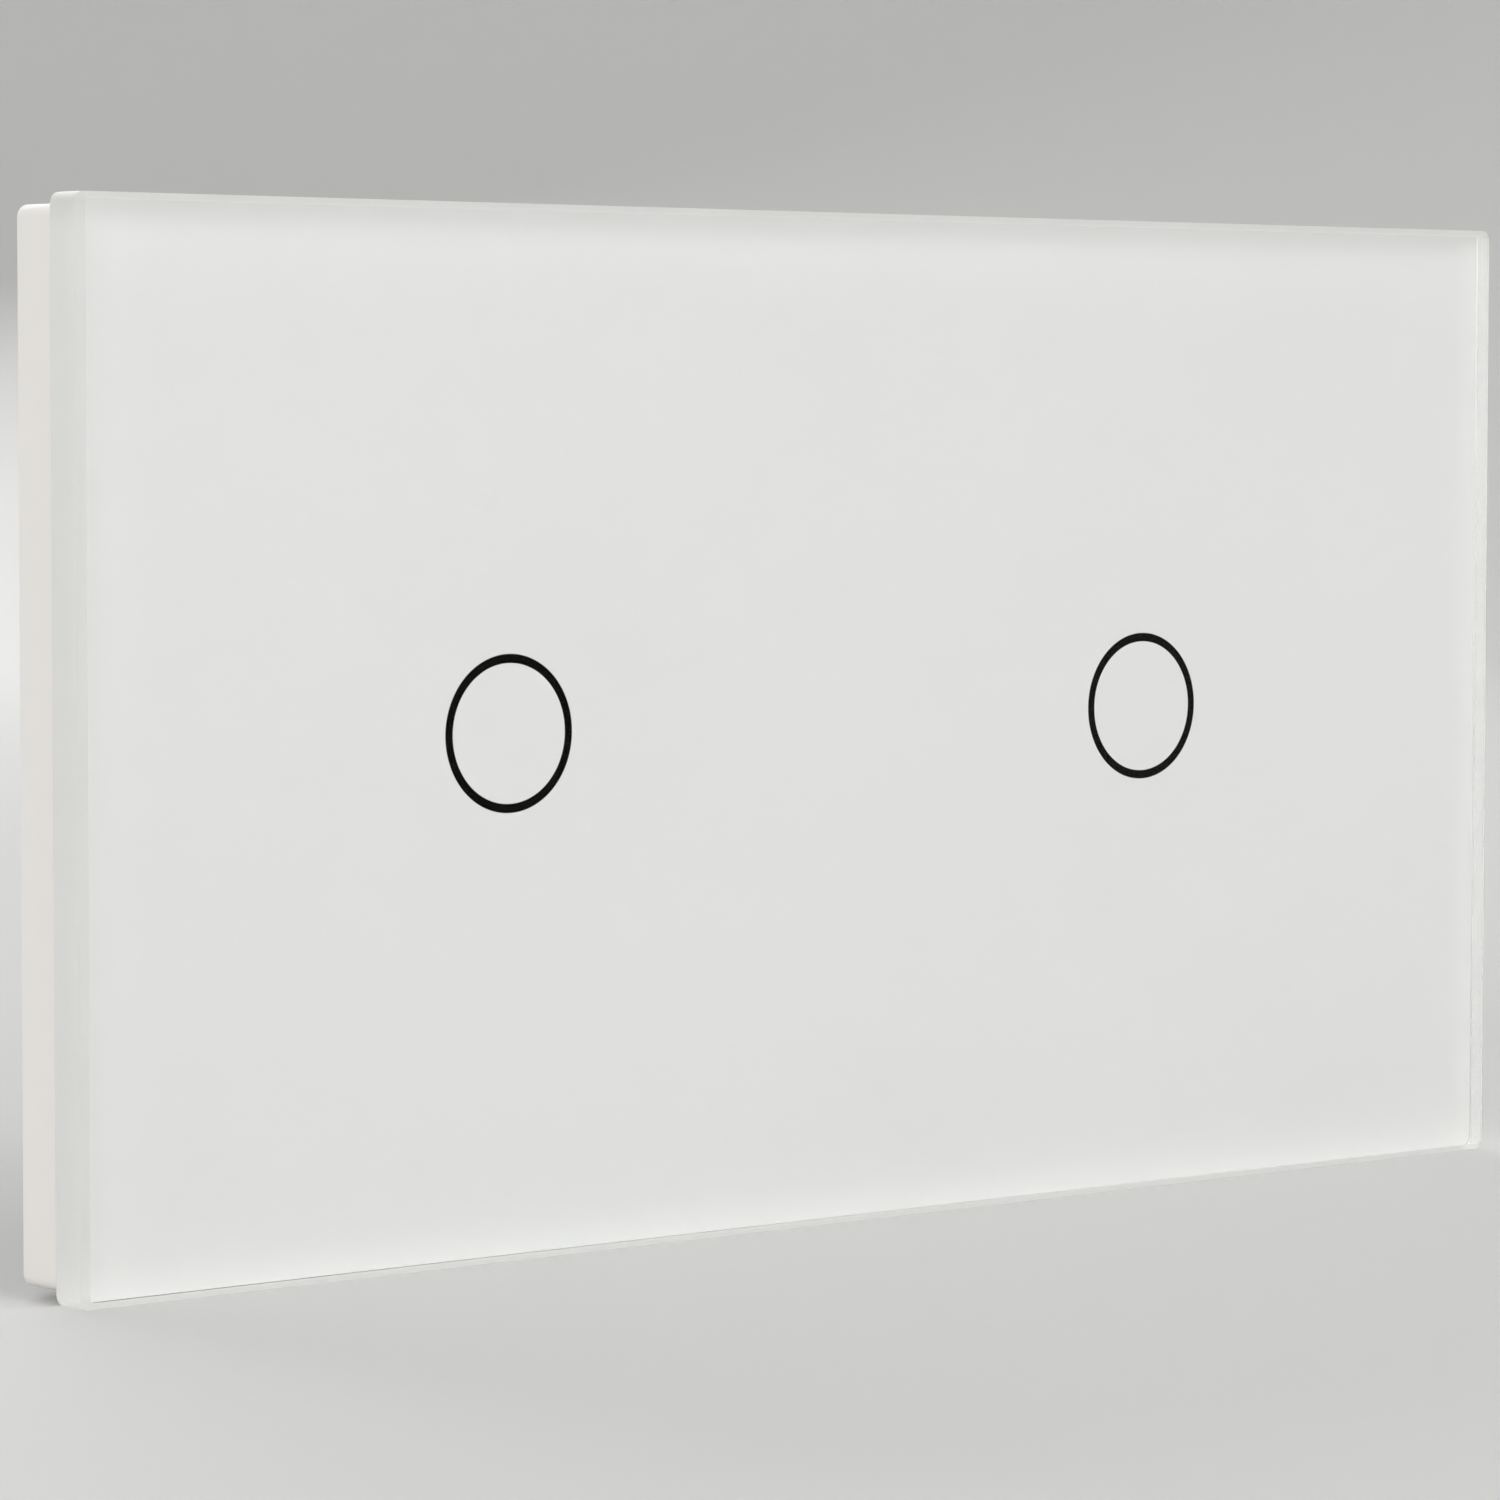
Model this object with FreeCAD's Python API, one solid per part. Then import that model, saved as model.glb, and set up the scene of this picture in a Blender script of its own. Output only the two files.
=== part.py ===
import FreeCAD, Part
import math
import os

# Double touch switch: one glass cover, clipped over two touch modules that stand side by side.
# Millimetres. X runs to the right seen from the front, Y into the wall, Z up.
# The origin is in the wall plane, midway between the two modules.

# Modules in the wall
module_pitch = 71.0
yoke_gap = 1.0
yoke_thickness = 1.2
yoke_corner_radius = 3.0
slot_edge = 5.0
slot_length = 7.0
slot_width = 4.0

# Cover
cover_border = 8.0
glass_thickness = 4.0
glass_corner_radius = 0.8
glass_front_bevel = 0.6
glass_back_bevel = 0.1
print_thickness = 0.1
print_setback = 0.1
ring_diameter = 13.0
ring_line = 0.75
frame_inset = 0.8
frame_wall = 1.8
frame_web = 1.5
frame_corner_radius = 1.0
frame_edge_round = 0.3
tape_thickness = 0.3
tape_width = 4.0
tape_setback = 2.5
tape_clearance = 0.1
collar_wall = 1.2
gusset_thickness = 1.0
gusset_depth = 2.2
gusset_clearance = 0.8
gussets_long = 11
gussets_short = 5
pry_width = 8.0
pry_depth = 1.2

# Snap fingers and their catches
catch_edge = 15.0
catch_width = 7.0
catch_thickness = 1.1
catch_clearance = 0.4
catch_window_width = 5.0
catch_window_edge = 0.7
catch_window_depth = 1.3
finger_thickness = 0.9
finger_gap = 0.3
finger_clearance = 0.25
nib_play = 0.15
nib_reach = 0.3

# Touch head
head_side_gap = 0.8
head_room = 7.5
head_corner_radius = 3.0
head_wall = 1.2
head_edge_round = 0.4
touch_board_thickness = 1.0
touch_board_play = 0.4
component_room = 0.7
guide_proud = 0.4
guide_gap = 0.2
guide_play = 0.05
guide_wall = 1.1
guide_floor = 0.6
guide_floor_step = 0.5
plate_play = 0.8
touch_plate_thickness = 0.4
touch_plate_gap = 0.1
touch_post_radius = 1.0
led_length = 1.6
led_width = 0.8
led_height = 0.6
led_count = 4
chip_length = 5.0
chip_width = 4.0
chip_height = 1.2
chip_place = (-6.0, -8.0)
connector_length = 12.0
connector_width = 2.5
connector_height_place = 10.0
hook_width = 6.0
hook_thickness = 1.2
hook_nib = 0.6
hook_nib_height = 0.7
hook_play = 0.3
post_radius = 1.5

# Screws that join the housing to the yoke
screw_radius = 1.2
screw_length = 8.0
screw_head_radius = 2.3
screw_head_height = 1.0
screw_hole_play = 0.15
screw_pilot_play = 0.03
screw_drive_width = 0.7
screw_drive_depth = 0.6
screw_land = 2.8
boss_radius = 2.6
boss_depth = 10.0
boss_margin = 0.35

# Rear housing
box_screw_room = 6.0
housing_corner_cut = 8.2
housing_wall = 1.5
housing_edge_round = 0.8
board_setback = 2.0
board_play = 0.5
board_boss_play = 0.35
power_board_thickness = 1.6
ledge_width = 2.0
ledge_length = 14.0
ledge_depth = 6.0
vent_count = 5
vent_width = 1.2
vent_length = 12.0
vent_pitch = 3.0
vent_height_place = 12.0

# Terminals
terminal_pitch = 11.0
terminal_depth_room = 4.9
terminal_floor = 1.3
terminal_side = 2.8
terminal_front_wall = 2.1
terminal_play = 0.1
wire_hole_radius = 1.6
cage_width = 6.0
cage_length = 5.0
cage_side_wall = 0.8
cage_floor = 0.8
cage_top = 1.2
cage_play = 0.2
cage_end_play = 0.3
clamp_travel = 2.5
terminal_back_room = 3.6
bar_width = 3.8
bar_thickness = 1.0
bar_play = 0.3
bar_end_play = 0.1
clamp_screw_radius = 1.5
clamp_thread_play = 0.05
clamp_hole_play = 0.2
clamp_tip_play = 0.1
clamp_ceiling = 2.9
clamp_head_radius = 2.6
clamp_head_height = 2.0
clamp_head_play = 0.3
clamp_seat_play = 0.1
clamp_head_recess = 0.7
clamp_slot_width = 0.8
clamp_slot_depth = 1.0

# Relay
relay_length = 20.0
relay_width = 10.0
relay_height = 13.0
relay_wall = 0.6
relay_edge = 3.0
relay_top_edge = 10.0
relay_base_thickness = 1.2
relay_base_play = 0.1
relay_case_lift = 0.1
iron_thickness = 1.2
iron_width = 7.0
iron_end_play = 0.2
coil_radius = 3.4
coil_play = 0.1
core_radius = 1.6
core_play = 0.1
pole_radius = 2.6
pole_height = 0.5
coil_length = 6.6
pole_gap = 0.45
armature_thickness = 1.0
armature_width = 6.4
armature_play = 0.08
armature_angle = 4.0
leaf_thickness = 0.3
leaf_width = 4.0
contact_radius = 1.3
contact_height = 0.8
contact_rim = 0.2
contact_edge = 3.2
contact_play = 0.12
contact_plate = 0.8

# Other parts on the power board, each held by its distance from the board's nearest two edges
storage_radius = 4.0
storage_height = 13.0
storage_edges = (13.5, 10.0)
film_length = 13.0
film_width = 6.0
film_height = 11.0
film_edges = (9.5, 17.0)
choke_radius = 3.5
choke_core_radius = 2.2
choke_height = 8.0
choke_flange = 0.8
choke_edges = (7.0, 19.5)
fuse_radius = 1.4
fuse_length = 11.0
fuse_cap_radius = 1.65
fuse_cap_length = 2.4
fuse_foot = 1.2
fuse_lift = 0.6
fuse_edges = (13.0, 15.5)

# Sizes that follow
yoke_side = module_pitch - yoke_gap
glass_height = yoke_side + 2 * cover_border
glass_width = module_pitch + glass_height
frame_width = glass_width - 2 * frame_inset
frame_height = glass_height - 2 * frame_inset
screw_spacing = yoke_side - 2 * slot_edge
housing_half = screw_spacing / 2 - box_screw_room
head_side = screw_spacing - 2 * head_room
window_side = head_side + 2 * head_side_gap
housing_diagonal = (2 * housing_half - housing_corner_cut) / math.sqrt(2)
screw_place = (housing_diagonal - boss_radius - boss_margin) / math.sqrt(2)
opening_side = 2 * (screw_place - screw_land)
guide_radius = ring_diameter / 2 + (guide_wall - ring_line) / 2
guide_bore = guide_radius - guide_wall
catch_place = yoke_side / 2 - catch_edge
board_half = housing_half - housing_wall - board_play

# Depths, from the wall plane towards the viewer
yoke_front = -yoke_thickness
screw_head_front = yoke_front - screw_head_height
touch_board_back = screw_head_front - guide_gap
touch_board_front = touch_board_back - touch_board_thickness
head_inner = touch_board_front - component_room
head_front = head_inner - head_wall
guide_front = head_front - guide_proud
frame_front = guide_front - guide_gap
print_front = frame_front - print_thickness
glass_front = print_front - glass_thickness
web_back = frame_front + frame_web
catch_front = web_back + catch_clearance

# Depths, from the wall plane into the wall
power_board_front = board_setback
power_board_back = power_board_front + power_board_thickness
terminal_front = power_board_back + terminal_depth_room
chamber_front = terminal_front + terminal_floor
cage_front = chamber_front + cage_play
wire_front = cage_front + cage_floor
bar_front = wire_front + 2 * wire_hole_radius
bar_back = bar_front + bar_thickness
cage_inner_back = bar_back + bar_play
cage_back = cage_inner_back + cage_top
chamber_back = cage_back + clamp_travel + bar_play
clamp_seat = chamber_back + clamp_ceiling
clamp_head_front = clamp_seat + clamp_seat_play
clamp_head_back = clamp_head_front + clamp_head_height
housing_back = clamp_head_back + clamp_head_recess

# Heights of the terminals
terminal_bottom = -housing_half
chamber_bottom = terminal_bottom + terminal_front_wall
cage_bottom = chamber_bottom + cage_end_play
clamp_height = cage_bottom + cage_length / 2
terminal_top = cage_bottom + cage_length + terminal_back_room
chamber_width = cage_width + 2 * cage_play
terminal_width = terminal_pitch + chamber_width + 2 * terminal_side
wire_depth = wire_front + wire_hole_radius

# A little more than nothing, for cuts that run out through a face
through = 1.0

V = FreeCAD.Vector


def block(x0, x1, y0, y1, z0, z1):
    """A box between two corners."""
    return Part.makeBox(x1 - x0, y1 - y0, z1 - z0, V(x0, y0, z0))


def rod(radius, x, z, y0, y1):
    """A round bar that runs into the wall."""
    return Part.makeCylinder(radius, y1 - y0, V(x, y0, z), V(0, 1, 0))


def tube(outer, inner, x, z, y0, y1):
    """A round tube that runs into the wall."""
    return rod(outer, x, z, y0, y1).cut(rod(inner, x, z, y0, y1))


def edges_along_y(shape):
    """The straight edges of a shape that run into the wall."""
    return [e for e in shape.Edges if e.BoundBox.YLength > max(e.BoundBox.XLength, e.BoundBox.ZLength)]


def edges_at_depth(shape, y):
    """The edges of a shape that lie flat at one depth."""
    return [e for e in shape.Edges if abs(e.BoundBox.YMin - y) < 1e-4 and abs(e.BoundBox.YMax - y) < 1e-4]


def plate(width, height, radius, y0, y1):
    """A plate with round corners that faces the viewer."""
    body = block(-width / 2, width / 2, y0, y1, -height / 2, height / 2)
    return body.makeFillet(radius, edges_along_y(body))


def slot(x, z, length, width, y0, y1, upright):
    """The round-ended bar that cuts a slot."""
    half = width / 2
    reach = length / 2 - half
    dx, dz = (0, reach) if upright else (reach, 0)
    half_x, half_z = (half, reach) if upright else (reach, half)
    middle = block(x - half_x, x + half_x, y0, y1, z - half_z, z + half_z)
    ends = [rod(half, x + s * dx, z + s * dz, y0, y1) for s in (-1, 1)]
    return middle.multiFuse(ends).removeSplitter()


def octagon(half, cut, y0, y1):
    """A square bar with cut corners that runs into the wall."""
    near = half - cut
    corners = [(half, near), (near, half), (-near, half), (-half, near),
               (-half, -near), (-near, -half), (near, -half), (half, -near)]
    outline = Part.makePolygon([V(x, y0, z) for x, z in corners + corners[:1]])
    return Part.Face(outline).extrude(V(0, y1 - y0, 0))


def four_corners(place):
    """The four points at one distance from both middle lines."""
    return [(i * place, k * place) for i in (-1, 1) for k in (-1, 1)]


def joined(first, others):
    """One solid from pieces that meet."""
    return first.multiFuse(others).removeSplitter()


def both_modules(shape):
    """The same shape at the left and the right module."""
    return [shape.translated(V(side * module_pitch / 2, 0, 0)) for side in (-1, 1)]


# Cover

def glass_panel():
    """The clear plate, with a ground bevel round its front and a finer one round its back."""
    body = plate(glass_width, glass_height, glass_corner_radius, glass_front, print_front)
    body = body.makeChamfer(glass_front_bevel, edges_at_depth(body, glass_front))
    return body.makeChamfer(glass_back_bevel, edges_at_depth(body, print_front))


def glass_print():
    """The white layer on the back of the glass, with a gap for each ring."""
    margin = glass_back_bevel + print_setback
    sheet = plate(glass_width - 2 * margin, glass_height - 2 * margin,
                  glass_corner_radius, print_front, frame_front)
    return sheet.cut(Part.makeCompound(both_modules(ring_window())))


def ring_window():
    """The dark ink that fills one ring gap."""
    outer = ring_diameter / 2
    return tube(outer, outer - ring_line, 0, 0, print_front, frame_front)


def tape_loop(clearance):
    """The closed loop of tape, or with a clearance the seat that it lies in."""
    inner_cut = 2 * (tape_setback + tape_width)
    outer = plate(frame_width - 2 * tape_setback + 2 * clearance,
                  frame_height - 2 * tape_setback + 2 * clearance,
                  frame_corner_radius, frame_front, frame_front + tape_thickness)
    inner = plate(frame_width - inner_cut - 2 * clearance, frame_height - inner_cut - 2 * clearance,
                  frame_corner_radius, frame_front, frame_front + tape_thickness)
    return outer.cut(inner)


def cover_frame():
    """The moulded tray behind the glass: skirt, web, two collars, gussets and a pry notch."""
    body = plate(frame_width, frame_height, frame_corner_radius, frame_front, 0)
    body = body.makeFillet(frame_edge_round, edges_at_depth(body, frame_front) + edges_at_depth(body, 0))
    inner_width = frame_width - 2 * frame_wall
    inner_height = frame_height - 2 * frame_wall
    body = body.cut(plate(inner_width, inner_height, frame_corner_radius, web_back, through))
    collar_side = window_side + 2 * collar_wall
    collar_back = yoke_front - catch_clearance
    collar = plate(collar_side, collar_side, head_corner_radius + collar_wall, web_back, collar_back)
    window = plate(window_side, window_side, head_corner_radius, frame_front - through, through)
    body = joined(body, both_modules(collar) + gussets(inner_width / 2, inner_height / 2))
    body = body.cut(Part.makeCompound(both_modules(window)))
    notch = block(-pry_width / 2, pry_width / 2, -pry_depth, through,
                  -frame_height / 2 - through, -inner_height / 2 + through)
    return body.cut(notch).cut(tape_loop(tape_clearance))


def gussets(half_width, half_height):
    """The short ribs that stiffen the skirt all round."""
    start = yoke_side / 2 + finger_gap + finger_thickness + gusset_clearance
    end_start = module_pitch / 2 + yoke_side / 2 + gusset_clearance
    back = web_back + gusset_depth
    ribs = []
    for side in (-1, 1):
        for i in range(gussets_long):
            x = (i - (gussets_long - 1) / 2) * 2 * half_width / gussets_long
            low, high = sorted((side * start, side * half_height))
            ribs.append(block(x - gusset_thickness / 2, x + gusset_thickness / 2, web_back, back, low, high))
        for i in range(gussets_short):
            z = (i - (gussets_short - 1) / 2) * 2 * half_height / gussets_short
            low, high = sorted((side * end_start, side * half_width))
            ribs.append(block(low, high, web_back, back, z - gusset_thickness / 2, z + gusset_thickness / 2))
    return ribs


def snap_finger():
    """One finger behind the upper edge of the web, with its nib in the catch window."""
    low = yoke_side / 2 + finger_gap
    arm = block(-catch_window_width / 2, catch_window_width / 2, web_back, yoke_front - finger_clearance,
                low, low + finger_thickness)
    window_front = catch_front + catch_window_edge
    nib = block(-catch_window_width / 2 + nib_play, catch_window_width / 2 - nib_play,
                window_front + nib_play, window_front + catch_window_depth - nib_play,
                low - finger_gap - nib_reach, low)
    return joined(arm, [nib])


def at_the_catches(shape):
    """The same shape at a module's four catches: two above and two below."""
    upper = [shape.translated(V(side * catch_place, 0, 0)) for side in (-1, 1)]
    return upper + [piece.mirror(V(0, 0, 0), V(0, 0, 1)) for piece in upper]


def cover_clips():
    """The eight snap fingers."""
    return Part.makeCompound([p for finger in at_the_catches(snap_finger()) for p in both_modules(finger)])


# Touch head, each piece round the middle of its module

def yoke():
    """The steel mounting plate with box-screw slots and four bent-up catches."""
    body = plate(yoke_side, yoke_side, yoke_corner_radius, yoke_front, 0)
    tools = [plate(opening_side, opening_side, yoke_corner_radius, yoke_front - through, through)]
    for side in (-1, 1):
        place = side * screw_spacing / 2
        tools.append(slot(place, 0, slot_length, slot_width, yoke_front - through, through, False))
        tools.append(slot(0, place, slot_length, slot_width, yoke_front - through, through, True))
    for x, z in four_corners(screw_place):
        tools.append(rod(screw_radius + screw_hole_play, x, z, yoke_front - through, through))
    return joined(body, at_the_catches(catch())).cut(Part.makeCompound(tools))


def catch():
    """One bent-up tab at the yoke's upper edge, with the window that a snap finger's nib enters."""
    top = yoke_side / 2
    tab = block(-catch_width / 2, catch_width / 2, catch_front, 0, top - catch_thickness, top)
    bend = [e for e in tab.Edges if e.BoundBox.ZMin > top - 1e-4 and e.BoundBox.YMin > -1e-4]
    tab = tab.makeFillet(catch_thickness * 0.8, bend)
    front = catch_front + catch_window_edge
    window = block(-catch_window_width / 2, catch_window_width / 2, front, front + catch_window_depth,
                   top - catch_thickness - through, top + through)
    return tab.cut(window)


def touch_cover():
    """The white front shell: face, skirt, light-guide hole, board posts and two hooks."""
    body = plate(head_side, head_side, head_corner_radius, head_front, yoke_front)
    body = body.makeFillet(head_edge_round, edges_at_depth(body, head_front))
    inner_side = head_side - 2 * head_wall
    body = body.cut(plate(inner_side, inner_side, head_corner_radius - head_wall, head_inner, through))
    posts = [rod(post_radius, x, z, head_inner, touch_board_front)
             for x, z in four_corners(screw_place)]
    body = joined(body, posts + [hook(side) for side in (-1, 1)])
    return body.cut(rod(guide_radius + guide_play, 0, 0, head_front - through, head_inner + through))


def hook(side):
    """One hook of the front shell, which reaches through the yoke and holds behind its back."""
    outer = opening_side / 2 - hook_play
    back = hook_play + hook_nib_height
    near, far = sorted((side * (outer - hook_thickness), side * outer))
    tip_near, tip_far = sorted((side * outer, side * (outer + hook_nib + hook_play)))
    arm = block(near, far, head_inner, back, -hook_width / 2, hook_width / 2)
    tip = block(tip_near, tip_far, hook_play, back, -hook_width / 2, hook_width / 2)
    return joined(arm, [tip])


def light_guide():
    """The clear cup that carries the lamps' light to the printed ring."""
    ring = tube(guide_radius, guide_bore, 0, 0, guide_front, head_inner)
    floor_front = guide_front + guide_floor_step
    floor = rod(guide_radius, 0, 0, floor_front, floor_front + guide_floor)
    return joined(ring, [floor])


def touch_board():
    """The sensor board, notched where the front shell's hooks pass."""
    side = head_side - 2 * head_wall - 2 * touch_board_play
    body = plate(side, side, head_corner_radius - head_wall, touch_board_front, touch_board_back)
    half = opening_side / 2
    notches = [block(s * half - hook_thickness - 2 * hook_play, s * half + hook_thickness + 2 * hook_play,
                     touch_board_front, touch_board_back, -hook_width / 2 - hook_play,
                     hook_width / 2 + hook_play) for s in (-1, 1)]
    return body.cut(Part.makeCompound(notches))


def touch_plate():
    """The tinned pad that senses the finger, on its post."""
    front = guide_front + guide_floor_step + guide_floor + touch_plate_gap
    pad = rod(guide_bore - plate_play, 0, 0, front, front + touch_plate_thickness)
    return joined(pad, [rod(touch_post_radius, 0, 0, front, touch_board_front)])


def indicator_leds():
    """The small lamps on the sensor board, spread under the light guide's ring."""
    lamps = []
    reach = guide_radius - guide_wall / 2
    for i in range(led_count):
        lamp = block(-led_length / 2, led_length / 2, touch_board_front - led_height, touch_board_front,
                     reach - led_width / 2, reach + led_width / 2)
        lamps.append(lamp.rotated(V(0, 0, 0), V(0, 1, 0), 360 * i / led_count))
    return Part.makeCompound(lamps)


def touch_chip():
    """The touch controller on the back of the sensor board."""
    x, z = chip_place
    return block(x - chip_length / 2, x + chip_length / 2, touch_board_back, touch_board_back + chip_height,
                 z - chip_width / 2, z + chip_width / 2)


def board_connector():
    """The header that joins the sensor board to the power board through the yoke."""
    return block(-connector_length / 2, connector_length / 2, touch_board_back, power_board_front,
                 connector_height_place - connector_width / 2, connector_height_place + connector_width / 2)


def housing_screw():
    """One screw through the yoke into the housing, with a slot in its head."""
    head = rod(screw_head_radius, 0, 0, screw_head_front, yoke_front)
    shank = rod(screw_radius, 0, 0, yoke_front, yoke_front + screw_length)
    drive = block(-screw_head_radius, screw_head_radius, screw_head_front, screw_head_front + screw_drive_depth,
                  -screw_drive_width / 2, screw_drive_width / 2)
    return joined(head, [shank]).cut(drive)


def housing_screws():
    """All eight screws, four to a module."""
    shapes = [housing_screw().translated(V(x, 0, z)) for x, z in four_corners(screw_place)]
    return Part.makeCompound([p for shape in shapes for p in both_modules(shape)])


# Relay side, each piece round the middle of its module

def rear_housing():
    """The case behind the wall plane, small enough for a round wall box."""
    body = octagon(housing_half, housing_corner_cut, 0, housing_back)
    body = body.makeFillet(housing_edge_round, edges_along_y(body) + edges_at_depth(body, housing_back))
    inner_half = housing_half - housing_wall
    inner_cut = housing_corner_cut - (2 - math.sqrt(2)) * housing_wall
    body = body.cut(octagon(inner_half, inner_cut, -through, housing_back - housing_wall))
    bosses = [rod(boss_radius, x, z, 0, boss_depth) for x, z in four_corners(screw_place)]
    ledges = []
    for side in (-1, 1):
        low, high = sorted((side * (inner_half - ledge_width), side * (inner_half + housing_wall / 2)))
        ledges.append(block(low, high, power_board_back, power_board_back + ledge_depth,
                            -ledge_length / 2, ledge_length / 2))
    body = joined(body, bosses + ledges)
    tools = [rod(screw_radius + screw_pilot_play, x, z, -through, boss_depth) for x, z in four_corners(screw_place)]
    tools.append(block(-terminal_width / 2 - terminal_play, terminal_width / 2 + terminal_play,
                       terminal_front - terminal_play, housing_back + through,
                       terminal_bottom - through, terminal_top + terminal_play))
    for i in range(vent_count):
        x = (i - (vent_count - 1) / 2) * vent_pitch
        tools.append(slot(x, vent_height_place, vent_length, vent_width,
                          housing_back - housing_wall - through, housing_back + through, True))
    return body.cut(Part.makeCompound(tools))


def power_board():
    """The relay board, cut back at the corners to clear the screw bosses."""
    corner = 2 * screw_place - (boss_radius + board_boss_play) * math.sqrt(2)
    return octagon(board_half, 2 * board_half - corner, power_board_front, power_board_back)


def on_the_board(edges, right, top):
    """The middle of a part that stands this far from the board's right or left and top or bottom edge."""
    x, z = board_half - edges[0], board_half - edges[1]
    return (x if right else -x), (z if top else -z)


def storage_capacitor():
    """The round capacitor of the supply."""
    x, z = on_the_board(storage_edges, True, True)
    can = rod(storage_radius, x, z, power_board_back, power_board_back + storage_height)
    return can.makeFillet(storage_radius / 10, edges_at_depth(can, power_board_back + storage_height))


def film_capacitor():
    """The box capacitor across the mains."""
    x, z = on_the_board(film_edges, False, False)
    return block(x - film_length / 2, x + film_length / 2, power_board_back, power_board_back + film_height,
                 z - film_width / 2, z + film_width / 2)


def choke():
    """The coil on a reel-shaped core."""
    x, z = on_the_board(choke_edges, True, True)
    back = power_board_back + choke_height
    flanges = [rod(choke_radius, x, z, power_board_back, power_board_back + choke_flange),
               rod(choke_radius, x, z, back - choke_flange, back)]
    winding = rod((choke_radius + choke_core_radius) / 2, x, z, power_board_back, back)
    return joined(winding, flanges)


def fuse():
    """The small fuse: a ceramic body between two caps that stand on feet."""
    x, z = on_the_board(fuse_edges, True, False)
    depth = power_board_back + fuse_lift + fuse_cap_radius
    body = Part.makeCylinder(fuse_radius, fuse_length, V(x - fuse_length / 2, depth, z), V(1, 0, 0))
    pieces = []
    for side in (-1, 1):
        middle = x + side * (fuse_length - fuse_cap_length) / 2
        pieces.append(Part.makeCylinder(fuse_cap_radius, fuse_cap_length,
                                        V(middle - fuse_cap_length / 2, depth, z), V(1, 0, 0)))
        pieces.append(block(middle - fuse_foot / 2, middle + fuse_foot / 2, power_board_back, depth,
                            z - fuse_foot / 2, z + fuse_foot / 2))
    return joined(body, pieces)


def terminal_block():
    """The block with two wire holes below, two screw holes behind and a chamber for each cage."""
    body = block(-terminal_width / 2, terminal_width / 2, terminal_front, housing_back,
                 terminal_bottom, terminal_top)
    tools = []
    for side in (-1, 1):
        x = side * terminal_pitch / 2
        tools.append(block(x - chamber_width / 2, x + chamber_width / 2, chamber_front, chamber_back,
                           chamber_bottom, terminal_top + through))
        tools.append(Part.makeCylinder(wire_hole_radius, terminal_front_wall + 2 * through,
                                       V(x, wire_depth, terminal_bottom - through), V(0, 0, 1)))
        tools.append(rod(clamp_screw_radius + clamp_hole_play, x, clamp_height,
                         chamber_back - through, housing_back))
        tools.append(rod(clamp_head_radius + clamp_head_play, x, clamp_height,
                         clamp_seat, housing_back + through))
    return body.cut(Part.makeCompound(tools))


def terminal_bars():
    """The two fixed bars: each lies in its cage and turns down to the power board."""
    bars = []
    leg_top = terminal_top + bar_end_play + bar_thickness
    for side in (-1, 1):
        low = side * terminal_pitch / 2 - bar_width / 2
        high = low + bar_width
        flat = block(low, high, bar_front, bar_back, cage_bottom, leg_top)
        leg = block(low, high, power_board_back, bar_back, leg_top - bar_thickness, leg_top)
        bars.append(joined(flat, [leg]))
    return Part.makeCompound(bars)


def clamp_screw(x):
    """The slotted screw of one terminal."""
    shank = rod(clamp_screw_radius, x, clamp_height, bar_back + clamp_tip_play, clamp_head_front)
    head = rod(clamp_head_radius, x, clamp_height, clamp_head_front, clamp_head_back)
    groove = block(x - clamp_head_radius, x + clamp_head_radius, clamp_head_back - clamp_slot_depth,
                   clamp_head_back, clamp_height - clamp_slot_width / 2, clamp_height + clamp_slot_width / 2)
    return joined(shank, [head]).cut(groove)


def clamp_cage(x):
    """The rising cage of one terminal, open as delivered."""
    half = cage_width / 2
    top = cage_bottom + cage_length
    body = block(x - half, x + half, cage_front, cage_back, cage_bottom, top)
    hollow = block(x - half + cage_side_wall, x + half - cage_side_wall, wire_front, cage_inner_back,
                   cage_bottom - through, top + through)
    thread = rod(clamp_screw_radius + clamp_thread_play, x, clamp_height,
                 cage_inner_back - through, cage_back + through)
    return body.cut(hollow).cut(thread)


# Relay, each piece round the middle of its module

relay_x = -board_half + relay_edge + relay_length / 2
relay_z = board_half - relay_top_edge - relay_width / 2
relay_back = power_board_back + relay_height
relay_floor = power_board_back + relay_base_thickness
iron_left = relay_x - relay_length / 2 + relay_wall + iron_end_play
iron_right = iron_left + iron_thickness
coil_x = iron_right + coil_play + coil_radius
coil_front = relay_floor + iron_thickness + coil_play
pole_front = coil_front + coil_length + coil_play
pole_back = pole_front + pole_height
armature_front = pole_back + pole_gap + armature_play
iron_back = armature_front - armature_play
armature_back = armature_front + armature_thickness
contact_x = relay_x + relay_length / 2 - relay_wall - contact_edge
contact_drop = (contact_x + contact_radius - iron_right) * math.sin(math.radians(armature_angle))
moving_contact_front = armature_back - contact_height
fixed_contact_back = moving_contact_front - contact_drop - contact_play


def across(width):
    """The low and high limits of a relay piece of this width."""
    return relay_z - width / 2, relay_z + width / 2


def relay_case():
    """The relay's thin box, open towards the board."""
    half = relay_length / 2
    low, high = across(relay_width)
    front = power_board_back + relay_case_lift
    body = block(relay_x - half, relay_x + half, front, relay_back, low, high)
    return body.cut(block(relay_x - half + relay_wall, relay_x + half - relay_wall, front - through,
                          relay_back - relay_wall, low + relay_wall, high - relay_wall))


def relay_base():
    """The plate that closes the relay's box and carries its parts."""
    half = relay_length / 2 - relay_wall - relay_base_play
    low, high = across(relay_width - 2 * relay_wall - 2 * relay_base_play)
    return block(relay_x - half, relay_x + half, power_board_back, relay_floor, low, high)


def relay_coil():
    """The winding on its bobbin."""
    return tube(coil_radius, core_radius + core_play, coil_x, relay_z, coil_front, coil_front + coil_length)


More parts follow.
